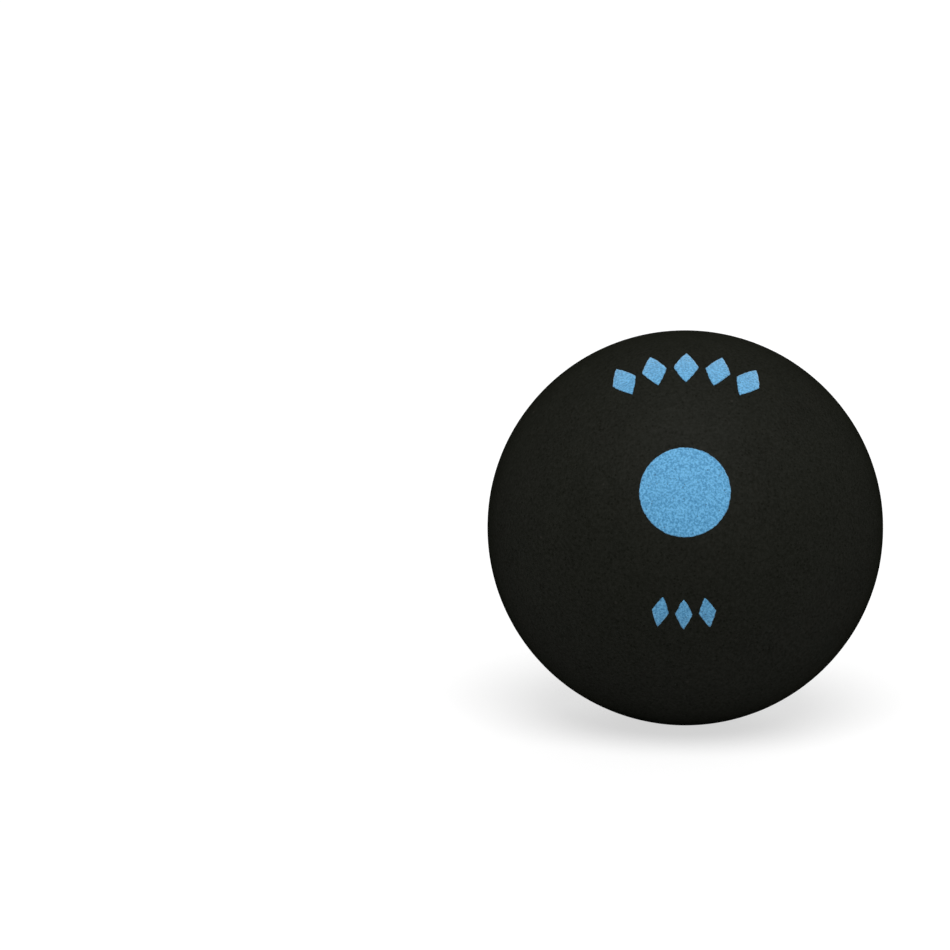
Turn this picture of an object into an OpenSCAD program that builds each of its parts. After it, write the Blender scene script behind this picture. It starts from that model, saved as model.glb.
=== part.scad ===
// Squash ball of the large beginners' size.
// Two moulded rubber half shells are bonded edge to edge, buffed round as one ball, and printed on the front.
// The origin is the ball's centre, +Z is up, and the front half faces -Y.

/* [Ball] */
// Diameter over the buffed surface
ball_d = 45; // [40:0.5:60]
// Thickness of the rubber wall
wall_t = 4.2; // [3:0.1:6]

/* [Seam] */
// Thickness of the cured adhesive between the two edges
bond_t = 0.2; // [0.1:0.05:0.3]
// Height of the bevel moulded round the inner edge of each half
edge_bevel = 0.8; // [0.4:0.1:1.5]
// How far the squeezed-out adhesive stands into the hollow
bead_rise = 0.3; // [0.1:0.05:0.6]
// Width of the fine groove that buffing leaves along the seam
groove_w = 0.5; // [0.4:0.05:0.9]
// Depth of that groove
groove_depth = 0.06; // [0.03:0.01:0.15]

/* [Print] */
// Thickness of the ink
ink_t = 0.05; // [0.04:0.01:0.1]
// Angle from the horizontal up to the middle of the print
print_tilt = 20; // [0:1:60]
// Diameter of the dot that gives the ball's grade
dot_d = 10; // [5:0.5:14]

/* [Upper row of lozenges] */
// Number of lozenges
upper_count = 5; // [3:1:6]
// Distance of their middles from the middle of the print
upper_row_r = 15; // [13:0.25:16]
// Angle from the first lozenge to the last
upper_row_span = 54; // [40:1:70]
// Width of one lozenge
upper_lozenge_w = 2.9; // [1.5:0.1:3.2]
// Length of one lozenge
upper_lozenge_h = 4.2; // [2:0.1:4.6]

/* [Lower row of lozenges] */
// Number of lozenges
lower_count = 3; // [2:1:4]
// Distance of their middles from the middle of the print
lower_row_r = 12.8; // [11:0.2:15]
// Angle from the first lozenge to the last
lower_row_span = 23; // [20:1:40]
// Width of one lozenge
lower_lozenge_w = 2; // [1:0.1:2.2]
// Length of one lozenge
lower_lozenge_h = 3.1; // [1.5:0.1:4]

/* [Hidden] */
$fn = 160;

rubber_colour = [0.10, 0.10, 0.09];
adhesive_colour = [0.16, 0.15, 0.12];
ink_colour = [0.40, 0.70, 0.89];

ball_r = ball_d / 2;
hollow_r = ball_r - wall_t;

// Each edge is a flat land, with the bevel along its inner side and the groove along its outer one
land_z = bond_t / 2;
bevel_top_z = land_z + edge_bevel;
bevel_r = sqrt(hollow_r * hollow_r - bevel_top_z * bevel_top_z);
land_inner_r = bevel_r + edge_bevel;
land_outer_r = ball_r - groove_depth;
groove_edge_z = groove_w / 2;

// The face of the bead is an arc from one bevel's inner corner to the other's
bead_arc_r = (bevel_top_z * bevel_top_z + bead_rise * bead_rise) / (2 * bead_rise);

// Every cut runs this far past what it cuts
overrun = edge_bevel;

// Outline of the cut that bevels the inner edge of a half, in radius and height
module bevel_cut() {
    polygon([
        [bevel_r - overrun, bevel_top_z + overrun],
        [bevel_r - overrun, land_z - overrun],
        [land_inner_r + overrun, land_z - overrun],
    ]);
}

// Outline of the cut that slopes the outer edge of a half down to the groove's floor
module groove_cut() {
    slope = groove_depth / (groove_edge_z - land_z);
    polygon([
        [land_outer_r - slope * overrun, land_z - overrun],
        [ball_r + slope * overrun, groove_edge_z + overrun],
        [ball_r + slope * overrun + overrun, land_z - overrun],
    ]);
}

// The wall of one half, with its pole along +Z
module half_shell() {
    rotate_extrude()
    difference() {
        intersection() {
            circle(r = ball_r);
            translate([0, land_z])
            square(ball_r);
        }
        circle(r = hollow_r);
        bevel_cut();
        groove_cut();
    }
}

// The sheet of adhesive between the lands, and the bead that it squeezes out between the bevels
module bond_ring() {
    rotate_extrude()
    union() {
        translate([land_inner_r, -land_z])
        square([land_outer_r - land_inner_r, bond_t]);
        intersection() {
            translate([bevel_r - bead_rise + bead_arc_r, 0])
            circle(r = bead_arc_r);
            polygon([
                [bevel_r - bead_rise, bevel_top_z],
                [bevel_r, bevel_top_z],
                [land_inner_r, land_z],
                [land_inner_r, -land_z],
                [bevel_r, -bevel_top_z],
                [bevel_r - bead_rise, -bevel_top_z],
            ]);
        }
    }
}

// A film of ink in the outline given, laid straight in along the print's own axis, as a soft pad lays it
module pad_print() {
    rotate([90 - print_tilt, 0, 0])
    intersection() {
        difference() {
            sphere(r = ball_r + ink_t);
            sphere(r = ball_r);
        }
        linear_extrude(ball_r + overrun)
        children();
    }
}

module lozenge(w, h) {
    polygon([[0, h / 2], [w / 2, 0], [0, -h / 2], [-w / 2, 0]]);
}

// Lozenges set radially on an arc, whose middle lies at an angle from the top of the print
module lozenge_row(count, row_r, span, w, h, middle) {
    step = span / (count - 1);
    for (k = [0 : count - 1])
        rotate(middle - span / 2 + k * step)
        translate([0, row_r])
        lozenge(w, h);
}

module front_half_shell() {
    color(rubber_colour)
    rotate([90, 0, 0])
    half_shell();
}

module rear_half_shell() {
    color(rubber_colour)
    rotate([-90, 0, 0])
    half_shell();
}

module seam_adhesive() {
    color(adhesive_colour)
    rotate([90, 0, 0])
    bond_ring();
}

module grade_dot_ink() {
    color(ink_colour)
    pad_print()
    circle(d = dot_d);
}

module upper_lozenges_ink() {
    color(ink_colour)
    pad_print()
    lozenge_row(upper_count, upper_row_r, upper_row_span, upper_lozenge_w, upper_lozenge_h, middle = 0);
}

module lower_lozenges_ink() {
    color(ink_colour)
    pad_print()
    lozenge_row(lower_count, lower_row_r, lower_row_span, lower_lozenge_w, lower_lozenge_h, middle = 180);
}

front_half_shell();
rear_half_shell();
seam_adhesive();
grade_dot_ink();
upper_lozenges_ink();
lower_lozenges_ink();
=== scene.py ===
import math

import bmesh
import bpy
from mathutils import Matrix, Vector


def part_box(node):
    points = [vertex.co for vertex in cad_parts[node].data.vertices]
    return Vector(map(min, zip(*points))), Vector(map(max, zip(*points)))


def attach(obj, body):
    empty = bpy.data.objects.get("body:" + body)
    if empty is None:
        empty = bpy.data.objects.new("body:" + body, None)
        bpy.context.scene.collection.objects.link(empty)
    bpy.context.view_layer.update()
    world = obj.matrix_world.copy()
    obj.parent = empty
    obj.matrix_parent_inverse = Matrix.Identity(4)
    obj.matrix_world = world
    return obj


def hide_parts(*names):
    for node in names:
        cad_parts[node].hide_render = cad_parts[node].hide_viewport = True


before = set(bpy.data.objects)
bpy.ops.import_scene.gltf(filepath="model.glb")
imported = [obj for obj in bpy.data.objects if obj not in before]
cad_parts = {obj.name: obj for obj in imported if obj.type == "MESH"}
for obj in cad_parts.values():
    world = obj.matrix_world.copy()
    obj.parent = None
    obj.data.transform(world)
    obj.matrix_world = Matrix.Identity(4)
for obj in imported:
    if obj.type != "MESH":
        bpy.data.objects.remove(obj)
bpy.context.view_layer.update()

MM = 0.001
QUARTER_TURN = math.pi / 2
FULL_TURN = 2 * math.pi

# Sizes that the frame gives
BALL_R = max(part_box("rear_half_shell")[1])
BOND_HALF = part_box("rear_half_shell")[0].y
GROOVE_FLOOR_R = max(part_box("seam_adhesive")[1])
BEVEL_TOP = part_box("seam_adhesive")[1].y

# Sizes of the wall and the seam that no box shows
WALL = 4.2 * MM
GROOVE_W = 0.5 * MM
BEAD_RISE = 0.3 * MM
HOLLOW_R = BALL_R - WALL
BEVEL_R = math.sqrt(HOLLOW_R ** 2 - BEVEL_TOP ** 2)
LAND_INNER_R = BEVEL_R + BEVEL_TOP - BOND_HALF

# Relief that buffing leaves in the skin: broad swells and small lumps, both pressed in from the ball's round
RELIEF = {
    "Ball Radius": BALL_R,
    "Skin": WALL / 4,
    "Fade": 0.8 * MM,
    "Swell Size": 6 * MM,
    "Swell Depth": 0.03 * MM,
    "Lump Size": 1.1 * MM,
    "Lump Depth": 0.010 * MM,
}
RELIEF_DETAIL = 1.0

# Wander of the groove's shoulders along the seam
SEAM_WANDER = 0.05 * MM
SEAM_WANDER_SIZE = 1.4 * MM

# Noise seldom leaves the middle half of its range, so this factor takes a wander to about the size stated
NOISE_REACH = 4.0

# Print on the front, laid straight in along an axis that is tilted up from the horizontal
PRINT_TILT = math.radians(20)
INK_T = 0.05 * MM
INK_SINK = 0.04 * MM
EDGE_ZONE = 0.5 * MM
EDGE_ROUND = 0.15 * MM
EDGE_WANDER = 0.05 * MM
EDGE_WANDER_SIZE = 0.4 * MM
EDGE_WANDER_DETAIL = 2.0
LOZENGE_FULLNESS = 1.15
ROUND_FULLNESS = 2.0

# Marks of the print by piece and node. A row's angles are measured from the top of the print
PRINT = [
    ("grade_dot", "grade_dot_ink", {
        "Count": 1,
        "Row Radius": 0.0,
        "Row Span": 0.0,
        "Row Middle": 0.0,
        "Mark Width": 10 * MM,
        "Mark Height": 10 * MM,
        "Side Fullness": ROUND_FULLNESS,
        "Spokes": 400,
        "Rings": 48,
    }),
    ("upper_lozenges", "upper_lozenges_ink", {
        "Count": 5,
        "Row Radius": 15 * MM,
        "Row Span": math.radians(54),
        "Row Middle": 0.0,
        "Mark Width": 2.9 * MM,
        "Mark Height": 4.2 * MM,
        "Side Fullness": LOZENGE_FULLNESS,
        "Spokes": 160,
        "Rings": 16,
    }),
    ("lower_lozenges", "lower_lozenges_ink", {
        "Count": 3,
        "Row Radius": 12.8 * MM,
        "Row Span": math.radians(23),
        "Row Middle": math.pi,
        "Mark Width": 2 * MM,
        "Mark Height": 3.1 * MM,
        "Side Fullness": LOZENGE_FULLNESS,
        "Spokes": 120,
        "Rings": 14,
    }),
]

# Meshing. The cap of a half starts as a cube that reaches 1 each way, with its cells along a quarter
# of the girth. The rings of a printed mark crowd towards its edge
CUBE_SIZE = (2.0, 2.0, 2.0)
GIRTH_CELLS = 112
GIRTH_QUARTERS = 4
HOLLOW_RINGS = 32
BEAD_POINTS = 9
RING_CROWDING = 1.6
WELD = 0.0002 * MM
CORNER_ANGLE = math.radians(14)

# Attribute on the ink that holds how far each point lies inside its mark's outline
FROM_EDGE = "from edge"

# Buffed grain: noise with small pits in it
GRAIN_DETAIL = 4.0
GRAIN_ROUGHNESS = 0.75
PIT_EDGE = (0.18, 0.42)
PIT_DEPTH = 0.35
CREST_RANGE = (0.25, 0.75)

# Bloom and dust: soft pale patches and specks
PATCH_DETAIL = 5.0
PATCH_ROUGHNESS = 0.65
PATCH_RANGE = (0.3, 0.7)
SPECK_EDGE = (0.05, 0.16)

# Cover of the ink: speckled tone and pinholes
SPECKLE_DETAIL = 2.0
SPECKLE_ROUGHNESS = 0.7
SPECKLE_RANGE = (0.36, 0.64)
PINHOLE_EDGE = (0.15, 0.35)

# Sheen of a rough skin, full where it is seen square on and gone where it is seen edge on
SHEEN_FADE = (0.20, 1.05)
SHEEN_IN_PITS = 0.5
SHEEN_ON_CRESTS = 1.5

# Buffed rubber
RUBBER_DARK = (0.0058, 0.0063, 0.0041, 1.0)
RUBBER_PALE = (0.0100, 0.0106, 0.0074, 1.0)
RUBBER_SHINE = {"Roughness": 0.87, "Specular IOR Level": 0.0, "Coat Roughness": 0.62, "Coat IOR": 1.5}
RUBBER_SHEEN = 0.145
RUBBER_GRAIN = {"Grain Size": 0.34 * MM, "Pit Size": 0.36 * MM, "Pit Share": 0.15}
RUBBER_GRAIN_DEPTH = 0.080 * MM
RUBBER_BLOOM = {"Patch Size": 4 * MM, "Speck Size": 1.6 * MM, "Speck Share": 0.05}
PALE_ON_CRESTS = 0.6
PALE_IN_PATCHES = 0.4
DUST = (0.035, 0.033, 0.028, 1.0)
DUST_COVER = 0.5

# Cured adhesive
BOND_DARK = (0.0050, 0.0046, 0.0036, 1.0)
BOND_PALE = (0.0110, 0.0100, 0.0078, 1.0)
BOND_SHINE = {"Roughness": 0.55, "Specular IOR Level": 0.0, "Coat Roughness": 0.45, "Coat IOR": 1.5}
BOND_SHEEN = 0.15
BOND_GRAIN = {"Grain Size": 0.30 * MM, "Pit Size": 0.25 * MM, "Pit Share": 0.15}
BOND_GRAIN_DEPTH = 0.040 * MM
BOND_BLOOM = {"Patch Size": 1.5 * MM}

# Light blue ink, thin enough to show the rubber's grain
INK_THIN = (0.056, 0.258, 0.486, 1.0)
INK_FULL = (0.152, 0.482, 0.802, 1.0)
INK_SHINE = {"Specular IOR Level": 0.2, "Sheen Weight": 0.6, "Sheen Roughness": 0.5}
INK_GRAIN_DEPTH = 0.056 * MM
INK_GLOSS_RANGE = (0.2, 0.8)
INK_ROUGH_IN_PITS = 0.70
INK_ROUGH_ON_CRESTS = 0.45
INK_COVER = {"Speckle Size": 0.24 * MM, "Pinhole Size": 0.30 * MM, "Pinhole Share": 0.12}
INK_SOFT_EDGE = 0.18 * MM
PINHOLE_BARENESS = 0.6

# Camera, as the photograph shows the ball
IMAGE_SIDE = 950
BALL_PIXEL = (684.65, 527.64)
BALL_PIXEL_R = 197.74
LENS = 135
SENSOR = 36
CAMERA_RISE = math.radians(10)

# Light: a large soft lamp in front and above, a weaker one behind, and an even surround
KEY_LAMP = {
    "level": 0.72,
    "rise": math.radians(56),
    "turn": math.radians(5),
    "width": math.radians(48),
}
REAR_LAMP = {
    "level": 0.40,
    "rise": math.radians(15),
    "turn": math.radians(165),
    "width": math.radians(60),
}
SURROUND_LEVEL = 0.28
WHITE = (1.0, 1.0, 1.0, 1.0)
FLOOR_TONE = (0.46, 0.46, 0.46, 1.0)
FLOOR_GLOW = 0.63
FLOOR_HALF = 4.0


class Graph:
    """One node tree, with short ways of adding to it"""

    def __init__(self, tree):
        self.tree = tree

    def feed(self, socket, value):
        """Gives an input a value or a link, or every link in a list"""
        if isinstance(value, list):
            for one in value:
                self.feed(socket, one)
        elif isinstance(value, bpy.types.NodeSocket):
            self.tree.links.new(value, socket)
        else:
            socket.default_value = value

    def add(self, kind, inputs=(), **options):
        """Adds a node with its options and inputs"""
        node = self.tree.nodes.new(kind)
        for option, value in options.items():
            setattr(node, option, value)
        for key, value in dict(inputs).items():
            self.feed(node.inputs[key], value)
        return node

    def first(self, kind, inputs=(), **options):
        """Adds a node and gives back its first output"""
        return self.add(kind, inputs, **options).outputs[0]

    def math(self, operation, *values):
        """One step of arithmetic on numbers"""
        return self.first("ShaderNodeMath", enumerate(values), operation=operation)

    def vector(self, operation, *values):
        """One step of arithmetic on vectors"""
        return self.first("ShaderNodeVectorMath", enumerate(values), operation=operation)

    def scaled(self, vector, factor):
        """A vector times a number"""
        return self.first("ShaderNodeVectorMath", {"Vector": vector, "Scale": factor}, operation="SCALE")

    def length(self, vector):
        """Length of a vector"""
        return self.add("ShaderNodeVectorMath", {0: vector}, operation="LENGTH").outputs["Value"]

    def negative(self, value):
        """A number with its sign changed"""
        return self.math("MULTIPLY", value, -1.0)

    def xyz(self, x, y, z):
        """A vector from its parts"""
        return self.first("ShaderNodeCombineXYZ", {"X": x, "Y": y, "Z": z})

    def parts(self, vector):
        """X, Y and Z of a vector"""
        return self.add("ShaderNodeSeparateXYZ", {0: vector}).outputs

    def ramp(self, value, low, high, to_low=0.0, to_high=1.0):
        """Eases from one value to another as the input goes from low to high"""
        ends = {"Value": value, "From Min": low, "From Max": high, "To Min": to_low, "To Max": to_high}
        return self.first("ShaderNodeMapRange", ends, interpolation_type="SMOOTHSTEP")

    def noise(self, place, size, detail, roughness=0.5):
        """Noise in blobs of about the size given; its outputs are Fac and Color"""
        per_metre = self.math("DIVIDE", 1.0, size)
        inputs = {"Vector": place, "Scale": per_metre, "Detail": detail, "Roughness": roughness}
        return self.add("ShaderNodeTexNoise", inputs).outputs

    def spots(self, place, size, share, edge, lot):
        """Round spots in some cells of the size given, drawn by one of the lots in each cell's colour"""
        cells = self.add("ShaderNodeTexVoronoi", {"Vector": place, "Scale": self.math("DIVIDE", 1.0, size)})
        spot = self.ramp(cells.outputs["Distance"], *edge, 1.0, 0.0)
        drawn = self.add("ShaderNodeSeparateColor", {"Color": cells.outputs["Color"]}).outputs[lot]
        return self.math("MULTIPLY", spot, self.math("LESS_THAN", drawn, share))

    def group(self, kind, name, values):
        """Places a node group with the values given; gives back its node"""
        return self.add(kind, values, node_tree=bpy.data.node_groups[name])


def new_tree(kind, name, inputs, outputs):
    """A node group with its sockets listed by type; gives back its graph, what it is given and its result"""
    tree = bpy.data.node_groups.new(name, kind)
    for in_out, sockets in (("INPUT", inputs), ("OUTPUT", outputs)):
        for socket_type, labels in sockets.items():
            for label in labels:
                tree.interface.new_socket(label, in_out=in_out, socket_type="NodeSocket" + socket_type)
    graph = Graph(tree)
    given = graph.add("NodeGroupInput").outputs
    result = graph.add("NodeGroupOutput").inputs
    return graph, given, result


# Shapes

def buffed_relief_tree():
    """Presses the swells and lumps that buffing leaves into the ball's outer skin, fading out at the seam"""
    graph, given, result = new_tree(
        "GeometryNodeTree", "buffed relief",
        {"Geometry": ["Geometry"],
         "Float": ["Ball Radius", "Skin", "Fade", "Swell Size", "Swell Depth", "Lump Size", "Lump Depth"]},
        {"Geometry": ["Geometry"]})
    place = graph.first("GeometryNodeInputPosition")
    direction = graph.vector("NORMALIZE", place)
    on_ball = graph.scaled(direction, given["Ball Radius"])
    swells = graph.noise(on_ball, given["Swell Size"], RELIEF_DETAIL)["Fac"]
    lumps = graph.noise(on_ball, given["Lump Size"], RELIEF_DETAIL)["Fac"]
    depth = graph.math("MULTIPLY", swells, given["Swell Depth"])
    depth = graph.math("MULTIPLY_ADD", lumps, given["Lump Depth"], depth)
    from_seam = graph.math("ABSOLUTE", graph.parts(place)["Y"])
    fade = graph.ramp(from_seam, 0.0, given["Fade"])
    inner_edge = graph.math("SUBTRACT", given["Ball Radius"], given["Skin"])
    is_skin = graph.math("GREATER_THAN", graph.length(place), inner_edge)
    offset = graph.scaled(direction, graph.math("MULTIPLY", depth, graph.negative(fade)))
    pressed = graph.first("GeometryNodeSetPosition",
                          {"Geometry": given["Geometry"], "Selection": is_skin, "Offset": offset})
    graph.feed(result["Geometry"], pressed)
    return graph.tree


def with_relief(graph, geometry):
    """Adds the ball's relief to a piece that is in its place"""
    inputs = {**RELIEF, "Geometry": geometry}
    return graph.group("GeometryNodeGroup", "buffed relief", inputs).outputs["Geometry"]


def lines_through(graph, corners):
    """Straight lines from each corner of an outline, in radius and height, to the next"""
    points = [graph.xyz(radius, height, 0.0) for radius, height in corners]
    return [
        graph.first("GeometryNodeCurvePrimitiveLine", {"Start": start, "End": end})
        for start, end in zip(points, points[1:])
    ]


def turned(graph, given, outlines):
    """Turns outlines, in radius and height, round the vertical axis, as a lathe does"""
    ball_r = given["Ball Radius"]
    joined = graph.first("GeometryNodeJoinGeometry", {"Geometry": outlines})
    shift = graph.xyz(graph.negative(ball_r), 0.0, 0.0)

    # A profile comes out upside down round this path, so it is mirrored first
    mirrored = (1.0, -1.0, 1.0)
    from_girth = graph.first("GeometryNodeTransform",
                             {"Geometry": joined, "Translation": shift, "Scale": mirrored})
    girth = graph.math("MULTIPLY", given["Girth Cells"], GIRTH_QUARTERS)
    path = graph.first("GeometryNodeCurvePrimitiveCircle", {"Resolution": girth, "Radius": ball_r})
    return graph.first("GeometryNodeCurveToMesh", {"Curve": path, "Profile Curve": from_girth})


def welded(graph, given, pieces):
    """Joins pieces and merges the points that meet"""
    joined = graph.first("GeometryNodeJoinGeometry", {"Geometry": pieces})
    return graph.first("GeometryNodeMergeByDistance", {"Geometry": joined, "Distance": given["Weld"]})


def finished(graph, given, result, geometry):
    """Ends a piece's tree: real geometry, smooth but for its corners, with its material"""
    real = graph.first("GeometryNodeRealizeInstances", {"Geometry": geometry})
    smooth = graph.first("GeometryNodeSetShadeSmooth",
                         {"Geometry": real, "Shade Smooth": True}, domain="FACE")
    corner = graph.math("GREATER_THAN", graph.first("GeometryNodeInputMeshEdgeAngle"), CORNER_ANGLE)
    sharp = graph.first("GeometryNodeSetShadeSmooth",
                        {"Geometry": smooth, "Selection": corner, "Shade Smooth": False}, domain="EDGE")
    painted = graph.first("GeometryNodeSetMaterial", {"Geometry": sharp, "Material": given["Material"]})
    graph.feed(result["Geometry"], painted)
    return graph.tree


def outer_cap(graph, given, edge_angle):
    """The outer skin of a half, from its pole to the groove"""
    ball_r = given["Ball Radius"]
    corners = graph.math("ADD", given["Girth Cells"], 1)
    cube = graph.first("GeometryNodeMeshCube", {"Size": CUBE_SIZE, "Vertices X": corners,
                                                "Vertices Y": corners, "Vertices Z": corners})
    place = graph.first("GeometryNodeInputPosition")
    below = graph.math("LESS_THAN", graph.parts(place)["Z"], 0.0)
    half_cube = graph.first("GeometryNodeDeleteGeometry",
                            {"Geometry": cube, "Selection": below}, domain="FACE")

    # Even angles along each side of the cube give even cells on the ball
    direction = graph.vector("NORMALIZE", graph.vector("TANGENT", graph.scaled(place, QUARTER_TURN / 2)))
    parts = graph.parts(direction)
    outward = graph.vector("NORMALIZE", graph.xyz(parts["X"], parts["Y"], 0.0))

    # The half stops short of a half ball, so all its angles from the pole shrink by one share
    share = graph.math("DIVIDE", edge_angle, QUARTER_TURN)
    from_pole = graph.math("MULTIPLY", graph.math("ARCCOSINE", parts["Z"]), share)
    along = graph.scaled(outward, graph.math("MULTIPLY", ball_r, graph.math("SINE", from_pole)))
    up = graph.xyz(0.0, 0.0, graph.math("MULTIPLY", ball_r, graph.math("COSINE", from_pole)))
    return graph.first("GeometryNodeSetPosition",
                       {"Geometry": half_cube, "Position": graph.vector("ADD", along, up)})


def wall_outline(graph, given, edge_angle):
    """Outline of the groove's side, the land, the bevel and the hollow of a half, in radius and height"""
    shoulder_r = graph.math("MULTIPLY", given["Ball Radius"], graph.math("SINE", edge_angle))
    sides = lines_through(graph, [
        (shoulder_r, given["Groove Edge"]),
        (given["Land Outer Radius"], given["Land Height"]),
        (given["Land Inner Radius"], given["Land Height"]),
        (given["Bevel Radius"], given["Bevel Top"]),
    ])
    bevel_angle = graph.math("ARCTAN2", given["Bevel Top"], given["Bevel Radius"])
    hollow = graph.first("GeometryNodeCurveArc",
                         {"Resolution": given["Hollow Rings"], "Radius": given["Hollow Radius"],
                          "Start Angle": bevel_angle,
                          "Sweep Angle": graph.math("SUBTRACT", QUARTER_TURN, bevel_angle)})
    return [*sides, hollow]


def with_wandering_shoulder(graph, given, geometry):
    """Lets the shoulder of the groove run a little unevenly, as a buffing stone leaves it"""
    place = graph.first("GeometryNodeInputPosition")
    on_ball = graph.math("COMPARE", graph.length(place), given["Ball Radius"], given["Weld"])
    at_edge = graph.math("COMPARE", graph.parts(place)["Z"], given["Groove Edge"], given["Weld"])
    noise = graph.noise(place, given["Wander Size"], RELIEF_DETAIL)["Fac"]
    reach = graph.math("MULTIPLY", given["Groove Wander"], NOISE_REACH)
    wander = graph.math("MULTIPLY", graph.math("SUBTRACT", noise, 0.5), reach)
    return graph.first("GeometryNodeSetPosition",
                       {"Geometry": geometry, "Selection": graph.math("MULTIPLY", on_ball, at_edge),
                        "Offset": graph.xyz(0.0, 0.0, wander)})


def half_shell_tree():
    """One half of the ball: an evenly meshed outer cap, and the rest of the wall turned"""
    graph, given, result = new_tree(
        "GeometryNodeTree", "half shell",
        {"Float": ["Ball Radius", "Hollow Radius", "Land Height", "Land Inner Radius", "Land Outer Radius",
                   "Bevel Top", "Bevel Radius", "Groove Edge", "Groove Wander", "Wander Size", "Weld"],
         "Int": ["Girth Cells", "Hollow Rings"],
         "Rotation": ["Turn"],
         "Material": ["Material"]},
        {"Geometry": ["Geometry"]})
    edge_angle = graph.math("ARCCOSINE", graph.math("DIVIDE", given["Groove Edge"], given["Ball Radius"]))
    cap = outer_cap(graph, given, edge_angle)
    wall = turned(graph, given, wall_outline(graph, given, edge_angle))
    half = with_wandering_shoulder(graph, given, welded(graph, given, [cap, wall]))
    in_place = graph.first("GeometryNodeTransform", {"Geometry": half, "Rotation": given["Turn"]})
    return finished(graph, given, result, with_relief(graph, in_place))


def bond_ring_tree():
    """The ring of cured adhesive: the sheet between the lands and the bead between the bevels"""
    graph, given, result = new_tree(
        "GeometryNodeTree", "bond ring",
        {"Float": ["Ball Radius", "Land Height", "Land Inner Radius", "Land Outer Radius", "Bevel Top",
                   "Bevel Radius", "Bead Rise", "Weld"],
         "Int": ["Girth Cells"],
         "Rotation": ["Turn"],
         "Material": ["Material"]},
        {"Geometry": ["Geometry"]})
    lower_land = graph.negative(given["Land Height"])
    lower_bevel = graph.negative(given["Bevel Top"])
    sides = lines_through(graph, [
        (given["Bevel Radius"], lower_bevel),
        (given["Land Inner Radius"], lower_land),
        (given["Land Outer Radius"], lower_land),
        (given["Land Outer Radius"], given["Land Height"]),
        (given["Land Inner Radius"], given["Land Height"]),
        (given["Bevel Radius"], given["Bevel Top"]),
    ])
    crest_r = graph.math("SUBTRACT", given["Bevel Radius"], given["Bead Rise"])
    bead = graph.first("GeometryNodeCurveArc",
                       {"Resolution": BEAD_POINTS,
                        "Start": graph.xyz(given["Bevel Radius"], given["Bevel Top"], 0.0),
                        "Middle": graph.xyz(crest_r, 0.0, 0.0),
                        "End": graph.xyz(given["Bevel Radius"], lower_bevel, 0.0)}, mode="POINTS")
    ring = welded(graph, given, [turned(graph, given, [*sides, bead])])
    in_place = graph.first("GeometryNodeTransform", {"Geometry": ring, "Rotation": given["Turn"]})
    return finished(graph, given, result, in_place)


def flat_mark(graph, given):
    """A flat disc whose outline is a circle or a lozenge, as the fullness of its sides says"""
    grid = graph.first("GeometryNodeMeshGrid",
                       {"Size X": 1.0, "Size Y": 1.0, "Vertices X": graph.math("ADD", given["Spokes"], 1),
                        "Vertices Y": graph.math("ADD", given["Rings"], 1)})
    cell = graph.parts(graph.first("GeometryNodeInputPosition"))
    angle = graph.math("MULTIPLY", graph.math("ADD", cell["X"], 0.5), FULL_TURN)
    left_over = graph.math("POWER", graph.math("SUBTRACT", 0.5, cell["Y"]), RING_CROWDING)
    reach = graph.math("SUBTRACT", 1.0, left_over)
    across = graph.math("COSINE", angle)
    upward = graph.math("SINE", angle)

    powers = []
    for part, size in ((across, "Mark Width"), (upward, "Mark Height")):
        share = graph.math("DIVIDE", graph.math("ABSOLUTE", part), graph.math("MULTIPLY", given[size], 0.5))
        powers.append(graph.math("POWER", share, given["Side Fullness"]))
    root = graph.math("DIVIDE", -1.0, given["Side Fullness"])
    outline_r = graph.math("POWER", graph.math("ADD", *powers), root)
    disc_r = graph.math("MULTIPLY", outline_r, reach)

    from_edge = graph.math("SUBTRACT", outline_r, disc_r)
    tagged = graph.first("GeometryNodeStoreNamedAttribute",
                         {"Geometry": grid, "Name": FROM_EDGE, "Value": from_edge},
                         data_type="FLOAT", domain="POINT")
    flat = graph.xyz(graph.math("MULTIPLY", disc_r, across), graph.math("MULTIPLY", disc_r, upward), 0.0)
    return graph.first("GeometryNodeSetPosition", {"Geometry": tagged, "Position": flat})


def row_of_marks(graph, given, mark):
    """Marks set radially on an arc round the middle of the print"""
    step = graph.math("DIVIDE", given["Row Span"], graph.math("SUBTRACT", given["Count"], 1))
    start = graph.math("SUBTRACT", given["Row Middle"], graph.math("MULTIPLY", given["Row Span"], 0.5))
    turn = graph.math("MULTIPLY_ADD", graph.first("GeometryNodeInputIndex"), step, start)
    left = graph.math("MULTIPLY", graph.math("SINE", turn), graph.negative(given["Row Radius"]))
    high = graph.math("MULTIPLY", graph.math("COSINE", turn), given["Row Radius"])
    places = graph.xyz(left, high, 0.0)
    points = graph.first("GeometryNodePoints", {"Count": given["Count"], "Position": places})
    row = graph.first("GeometryNodeInstanceOnPoints",
                      {"Points": points, "Instance": mark, "Rotation": graph.xyz(0.0, 0.0, turn)})
    return graph.first("GeometryNodeRealizeInstances", {"Geometry": row})


def with_wandering_edge(graph, given, row, from_edge):
    """Lets the outline of flat marks wander a little, as an inked pad leaves it"""
    place = graph.first("GeometryNodeInputPosition")
    noise = graph.noise(place, given["Wander Size"], EDGE_WANDER_DETAIL)["Color"]
    middle = (0.5, 0.5, 0.5)
    in_plane = (1.0, 1.0, 0.0)
    drift = graph.vector("MULTIPLY", graph.vector("SUBTRACT", noise, middle), in_plane)
    near_edge = graph.ramp(from_edge, 0.0, given["Edge Zone"], 1.0, 0.0)
    push = graph.math("MULTIPLY", near_edge, graph.math("MULTIPLY", given["Wander"], NOISE_REACH))
    return graph.first("GeometryNodeSetPosition", {"Geometry": row, "Offset": graph.scaled(drift, push)})


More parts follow.
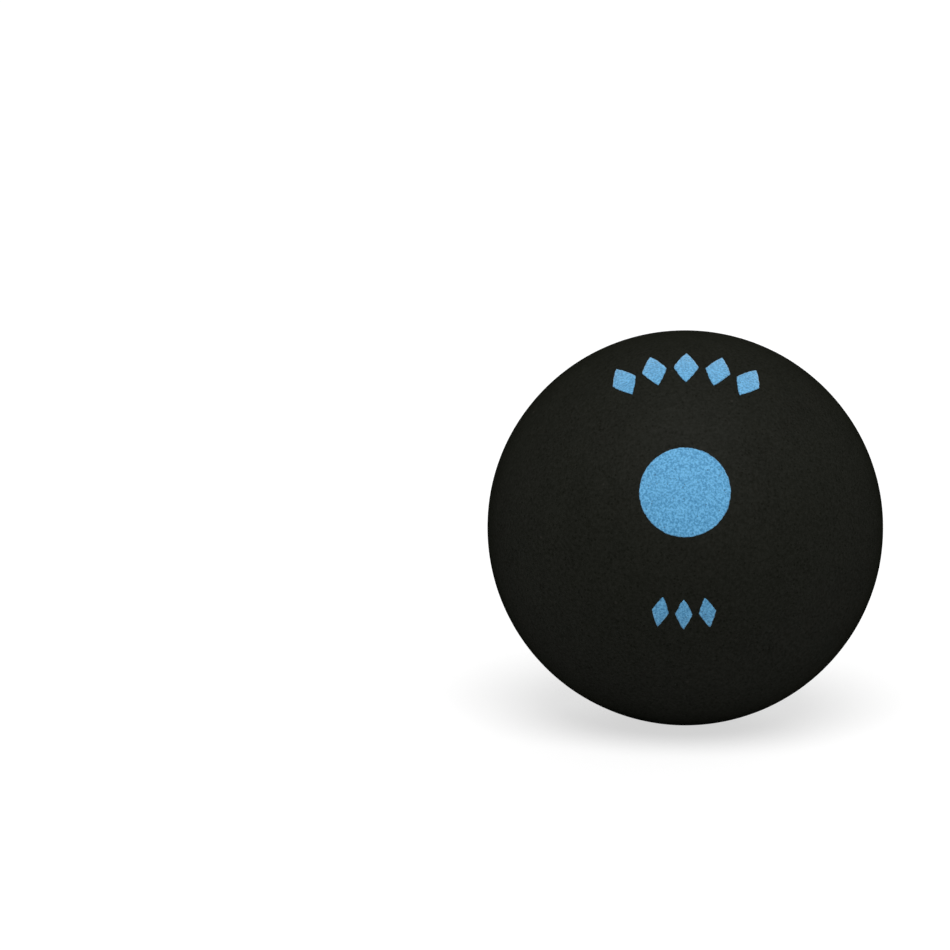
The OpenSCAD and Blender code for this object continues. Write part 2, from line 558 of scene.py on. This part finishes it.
def film_on_ball(graph, given, row, from_edge):
    """Lays flat marks on the ball as a closed film, with its underside a little inside the rubber"""
    ball_r = given["Ball Radius"]
    parts = graph.parts(graph.first("GeometryNodeInputPosition"))
    ball_square = graph.math("MULTIPLY", ball_r, ball_r)
    flat_square = graph.math("ADD", graph.math("MULTIPLY", parts["X"], parts["X"]),
                             graph.math("MULTIPLY", parts["Y"], parts["Y"]))
    depth = graph.math("SQRT", graph.math("SUBTRACT", ball_square, flat_square))
    direction = graph.vector("NORMALIZE", graph.xyz(parts["X"], parts["Y"], depth))
    under = graph.negative(given["Sink"])
    over = graph.ramp(from_edge, 0.0, given["Edge Round"], under, given["Film"])
    face, underside = [
        graph.first("GeometryNodeSetPosition",
                    {"Geometry": row, "Position": graph.scaled(direction, graph.math("ADD", ball_r, lift))})
        for lift in (over, under)
    ]
    return welded(graph, given, [face, graph.first("GeometryNodeFlipFaces", {"Mesh": underside})])


def printed_row_tree():
    """A row of marks laid on the ball as a film whose edge wanders a little"""
    graph, given, result = new_tree(
        "GeometryNodeTree", "printed row",
        {"Float": ["Ball Radius", "Film", "Sink", "Row Radius", "Row Span", "Row Middle", "Mark Width",
                   "Mark Height", "Side Fullness", "Edge Zone", "Edge Round", "Wander", "Wander Size",
                   "Weld"],
         "Int": ["Count", "Spokes", "Rings"],
         "Rotation": ["Turn"],
         "Material": ["Material"]},
        {"Geometry": ["Geometry"]})
    from_edge = graph.first("GeometryNodeInputNamedAttribute", {"Name": FROM_EDGE}, data_type="FLOAT")
    row = row_of_marks(graph, given, flat_mark(graph, given))
    row = with_wandering_edge(graph, given, row, from_edge)
    film = film_on_ball(graph, given, row, from_edge)
    in_place = graph.first("GeometryNodeTransform", {"Geometry": film, "Rotation": given["Turn"]})
    return finished(graph, given, result, with_relief(graph, in_place))


# Finishes

def buffed_grain_group():
    """Fine grain that a buffing stone leaves, with small pits in it"""
    graph, given, result = new_tree(
        "ShaderNodeTree", "buffed grain",
        {"Float": ["Grain Size", "Pit Size", "Pit Share"]},
        {"Float": ["Height"]})
    place = graph.add("ShaderNodeTexCoord").outputs["Object"]
    grain = graph.noise(place, given["Grain Size"], GRAIN_DETAIL, GRAIN_ROUGHNESS)["Fac"]
    pits = graph.spots(place, given["Pit Size"], given["Pit Share"], PIT_EDGE, "Red")
    height = graph.math("SUBTRACT", grain, graph.math("MULTIPLY", pits, PIT_DEPTH))
    graph.feed(result["Height"], height)


def bloom_group():
    """Pale bloom and dust: soft patches, and a few small specks"""
    graph, given, result = new_tree(
        "ShaderNodeTree", "bloom and dust",
        {"Float": ["Patch Size", "Speck Size", "Speck Share"]},
        {"Float": ["Patches", "Specks"]})
    place = graph.add("ShaderNodeTexCoord").outputs["Object"]
    patches = graph.noise(place, given["Patch Size"], PATCH_DETAIL, PATCH_ROUGHNESS)["Fac"]
    specks = graph.spots(place, given["Speck Size"], given["Speck Share"], SPECK_EDGE, "Green")
    graph.feed(result["Patches"], graph.ramp(patches, *PATCH_RANGE))
    graph.feed(result["Specks"], specks)


def ink_cover_group():
    """How well the ink covers the grain: speckled tone all over, and pinholes that it missed"""
    graph, given, result = new_tree(
        "ShaderNodeTree", "ink cover",
        {"Float": ["Speckle Size", "Pinhole Size", "Pinhole Share"]},
        {"Float": ["Tone", "Missed"]})
    place = graph.add("ShaderNodeTexCoord").outputs["Object"]
    tone = graph.noise(place, given["Speckle Size"], SPECKLE_DETAIL, SPECKLE_ROUGHNESS)["Fac"]
    missed = graph.spots(place, given["Pinhole Size"], given["Pinhole Share"], PINHOLE_EDGE, "Blue")
    graph.feed(result["Tone"], graph.ramp(tone, *SPECKLE_RANGE))
    graph.feed(result["Missed"], missed)


def new_finish(name, shine):
    """A material whose shader has the values that are the same all over it"""
    material = bpy.data.materials.new(name)
    material.use_nodes = True
    graph = Graph(material.node_tree)
    shader = graph.tree.nodes["Principled BSDF"].inputs
    for label, value in shine.items():
        graph.feed(shader[label], value)
    return material, graph, shader


def effect(graph, name, values):
    """Places one of the shared effects in a material, with the material's own values"""
    return graph.group("ShaderNodeGroup", name, values).outputs


def sheened(graph, shader, weight, height):
    """Sheen of a rough skin: its crests shine more, and its own grain hides it where it is seen edge on"""
    edge_on = graph.add("ShaderNodeLayerWeight").outputs["Facing"]
    seen = graph.ramp(edge_on, *SHEEN_FADE, weight, 0.0)
    crests = graph.ramp(height, *CREST_RANGE, SHEEN_IN_PITS, SHEEN_ON_CRESTS)
    graph.feed(shader["Coat Weight"], graph.math("MULTIPLY", seen, crests))


def mixed(graph, factor, start, end):
    """Colour that goes from start to end as the factor goes from 0 to 1"""
    node = graph.add("ShaderNodeMix", data_type="RGBA")
    inputs = {socket.identifier: socket for socket in node.inputs}
    graph.feed(inputs["Factor_Float"], factor)
    graph.feed(inputs["A_Color"], start)
    graph.feed(inputs["B_Color"], end)
    return next(socket for socket in node.outputs if socket.identifier == "Result_Color")


def bumped(graph, shader, height, depth):
    """Lets a height that is too fine for the mesh turn the light on the surface"""
    normal = graph.first("ShaderNodeBump", {"Strength": 1.0, "Distance": depth, "Height": height})
    graph.feed(shader["Normal"], normal)


def rubber_finish():
    """Buffed black rubber, paler on its crests and where it blooms, with a few specks of dust"""
    material, graph, shader = new_finish("buffed rubber", RUBBER_SHINE)
    height = effect(graph, "buffed grain", RUBBER_GRAIN)["Height"]
    bloom = effect(graph, "bloom and dust", RUBBER_BLOOM)
    crests = graph.ramp(height, *CREST_RANGE, 0.0, PALE_ON_CRESTS)
    pale = graph.math("MULTIPLY_ADD", bloom["Patches"], PALE_IN_PATCHES, crests)
    rubber = mixed(graph, pale, RUBBER_DARK, RUBBER_PALE)
    dusty = mixed(graph, graph.math("MULTIPLY", bloom["Specks"], DUST_COVER), rubber, DUST)
    graph.feed(shader["Base Color"], dusty)
    sheened(graph, shader, RUBBER_SHEEN, height)
    bumped(graph, shader, height, RUBBER_GRAIN_DEPTH)
    return material


def adhesive_finish():
    """Cured adhesive, smoother and a little browner than the rubber"""
    material, graph, shader = new_finish("cured adhesive", BOND_SHINE)
    height = effect(graph, "buffed grain", BOND_GRAIN)["Height"]
    patches = effect(graph, "bloom and dust", BOND_BLOOM)["Patches"]
    graph.feed(shader["Base Color"], mixed(graph, patches, BOND_DARK, BOND_PALE))
    sheened(graph, shader, BOND_SHEEN, height)
    bumped(graph, shader, height, BOND_GRAIN_DEPTH)
    return material


def ink_finish():
    """Light blue ink that follows the rubber's grain, with a few pinholes and a soft broken edge"""
    material, graph, shader = new_finish("light blue ink", INK_SHINE)
    height = effect(graph, "buffed grain", RUBBER_GRAIN)["Height"]
    cover = effect(graph, "ink cover", INK_COVER)
    from_edge = graph.add("ShaderNodeAttribute", attribute_name=FROM_EDGE).outputs["Fac"]
    reached = graph.math("SUBTRACT", from_edge, graph.math("MULTIPLY", height, INK_SOFT_EDGE))
    bare_edge = graph.ramp(reached, -INK_SOFT_EDGE, INK_SOFT_EDGE / 2, 1.0, 0.0)
    bare = graph.math("MAXIMUM", bare_edge, graph.math("MULTIPLY", cover["Missed"], PINHOLE_BARENESS))
    ink = mixed(graph, cover["Tone"], INK_THIN, INK_FULL)
    graph.feed(shader["Base Color"], mixed(graph, bare, ink, RUBBER_PALE))
    rough = graph.ramp(height, *INK_GLOSS_RANGE, INK_ROUGH_IN_PITS, INK_ROUGH_ON_CRESTS)
    graph.feed(shader["Roughness"], rough)
    bumped(graph, shader, height, INK_GRAIN_DEPTH)
    return material


# Pieces

def shaped_mesh(name, tree, sizes):
    """Runs a tree once and keeps its result as a plain closed mesh"""
    maker = bpy.data.objects.new(name + "_maker", bpy.data.meshes.new(name + "_maker"))
    bpy.context.scene.collection.objects.link(maker)
    modifier = maker.modifiers.new("shape", "NODES")
    modifier.node_group = tree
    for socket in tree.interface.items_tree:
        if socket.in_out == "INPUT":
            modifier[socket.identifier] = sizes[socket.name]
    depsgraph = bpy.context.evaluated_depsgraph_get()
    mesh = bpy.data.meshes.new_from_object(maker.evaluated_get(depsgraph), preserve_all_data_layers=True,
                                           depsgraph=depsgraph)
    maker.modifiers.remove(modifier)
    bpy.data.objects.remove(maker)
    mesh.name = name
    shape = bmesh.new()
    shape.from_mesh(mesh)
    bmesh.ops.recalc_face_normals(shape, faces=shape.faces)
    shape.to_mesh(mesh)
    shape.free()
    return mesh


def made_piece(name, tree, node, sizes):
    """Makes a piece and sets it in the frame in the place of a CAD node"""
    piece = bpy.data.objects.new(name, shaped_mesh(name, tree, sizes))
    bpy.context.scene.collection.objects.link(piece)
    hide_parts(node)
    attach(piece, "root")


def bonded_halves():
    """The two halves and the ring of adhesive, made upright and then turned to face front and rear"""
    seam_sizes = {
        "Ball Radius": BALL_R,
        "Land Height": BOND_HALF,
        "Land Inner Radius": LAND_INNER_R,
        "Land Outer Radius": GROOVE_FLOOR_R,
        "Bevel Top": BEVEL_TOP,
        "Bevel Radius": BEVEL_R,
        "Girth Cells": GIRTH_CELLS,
        "Weld": WELD,
    }
    shell_sizes = {
        **seam_sizes,
        "Hollow Radius": HOLLOW_R,
        "Groove Edge": GROOVE_W / 2,
        "Groove Wander": SEAM_WANDER,
        "Wander Size": SEAM_WANDER_SIZE,
        "Hollow Rings": HOLLOW_RINGS,
        "Material": rubber_finish(),
    }
    bond_sizes = {
        **seam_sizes,
        "Bead Rise": BEAD_RISE,
        "Material": adhesive_finish(),
    }
    facing_front = (QUARTER_TURN, 0.0, 0.0)
    facing_rear = (-QUARTER_TURN, 0.0, 0.0)
    shell_tree = half_shell_tree()
    made_piece("front_half", shell_tree, "front_half_shell", {**shell_sizes, "Turn": facing_front})
    made_piece("rear_half", shell_tree, "rear_half_shell", {**shell_sizes, "Turn": facing_rear})
    made_piece("seam_bond", bond_ring_tree(), "seam_adhesive",
               {**bond_sizes, "Turn": facing_front})


def front_print():
    """The dot and the two rows of lozenges, in ink"""
    film_sizes = {
        "Ball Radius": BALL_R,
        "Film": INK_T,
        "Sink": INK_SINK,
        "Turn": (QUARTER_TURN - PRINT_TILT, 0.0, 0.0),
        "Edge Zone": EDGE_ZONE,
        "Edge Round": EDGE_ROUND,
        "Wander": EDGE_WANDER,
        "Wander Size": EDGE_WANDER_SIZE,
        "Weld": WELD,
        "Material": ink_finish(),
    }
    row_tree = printed_row_tree()
    for name, node, mark_sizes in PRINT:
        made_piece(name, row_tree, node, {**film_sizes, **mark_sizes})


# Studio

def camera_on_ball():
    """A level camera that sees the ball at its place and size in the photograph"""
    focal = IMAGE_SIDE * LENS / SENSOR
    half = IMAGE_SIDE / 2
    ray = Vector(((BALL_PIXEL[0] - half) / focal, (half - BALL_PIXEL[1]) / focal, -1.0)).normalized()

    # Off the picture's middle the lens draws the ball wider, by the slant of the ray
    slant = -ray.z
    spread = BALL_PIXEL_R / focal * slant
    distance = BALL_R * math.sqrt(1 + spread ** 2) / spread

    # Tilt and turn that lay the ray on the line from the camera to the ball, without a roll
    pitch = math.asin(-math.sin(CAMERA_RISE) / math.hypot(ray.y, ray.z)) - math.atan2(ray.z, ray.y)
    level_y = ray.y * math.cos(pitch) - ray.z * math.sin(pitch)
    yaw = QUARTER_TURN - math.atan2(level_y, ray.x)

    data = bpy.data.cameras.new("camera")
    data.lens = LENS
    data.sensor_width = SENSOR
    camera = bpy.data.objects.new("camera", data)
    bpy.context.scene.collection.objects.link(camera)
    camera.location = distance * Vector((0.0, -math.cos(CAMERA_RISE), math.sin(CAMERA_RISE)))
    camera.rotation_euler = (pitch, 0.0, yaw)
    bpy.context.scene.camera = camera


def seen_by_eye(graph):
    """1 where the ray comes from the camera, a mirror or a lens, and 0 where it only brings light"""
    path = graph.add("ShaderNodeLightPath").outputs
    seen = graph.math("MAXIMUM", path["Is Camera Ray"], path["Is Glossy Ray"])
    return graph.math("MAXIMUM", seen, path["Is Transmission Ray"])


def pale_floor():
    """A floor under the ball that looks white but for the ball's shadow"""
    mesh = bpy.data.meshes.new("floor")
    corners = [(-FLOOR_HALF, -FLOOR_HALF), (FLOOR_HALF, -FLOOR_HALF), (FLOOR_HALF, FLOOR_HALF),
               (-FLOOR_HALF, FLOOR_HALF)]
    mesh.from_pydata([(x, y, -BALL_R) for x, y in corners], [], [(0, 1, 2, 3)])
    floor = bpy.data.objects.new("floor", mesh)
    bpy.context.scene.collection.objects.link(floor)
    material = bpy.data.materials.new("pale floor")
    material.use_nodes = True
    graph = Graph(material.node_tree)
    graph.tree.nodes.clear()
    matte = graph.first("ShaderNodeBsdfDiffuse", {"Color": FLOOR_TONE})
    glow_level = graph.math("MULTIPLY", seen_by_eye(graph), FLOOR_GLOW)
    glow = graph.first("ShaderNodeEmission", {"Strength": glow_level})
    both = graph.first("ShaderNodeAddShader", {0: matte, 1: glow})
    graph.add("ShaderNodeOutputMaterial", {"Surface": both})
    mesh.materials.append(material)


def white_surround():
    """A surround that looks white and lights the ball evenly at a lower level"""
    world = bpy.data.worlds.new("surround")
    bpy.context.scene.world = world
    world.use_nodes = True
    graph = Graph(world.node_tree)
    graph.tree.nodes.clear()
    level = graph.first("ShaderNodeMapRange",
                        {"Value": seen_by_eye(graph), "To Min": SURROUND_LEVEL, "To Max": 1.0})
    white = graph.first("ShaderNodeBackground", {"Color": WHITE, "Strength": level})
    graph.add("ShaderNodeOutputWorld", {"Surface": white})


def soft_lamp(name, level, rise, turn, width):
    """A far soft lamp that lights a white card facing it to the level given"""
    data = bpy.data.lights.new(name, "SUN")
    data.energy = level * math.pi
    data.angle = width
    lamp = bpy.data.objects.new(name, data)
    bpy.context.scene.collection.objects.link(lamp)
    towards = Vector((math.sin(turn) * math.cos(rise), -math.cos(turn) * math.cos(rise), math.sin(rise)))
    lamp.rotation_euler = towards.to_track_quat("Z", "Y").to_euler()
    return lamp


bpy.context.scene.view_settings.view_transform = "Standard"
buffed_relief_tree()
buffed_grain_group()
bloom_group()
ink_cover_group()
bonded_halves()
front_print()
camera_on_ball()
pale_floor()
white_surround()
soft_lamp("key", **KEY_LAMP)
rear_lamp = soft_lamp("rear", **REAR_LAMP)
rear_lamp.visible_glossy = False
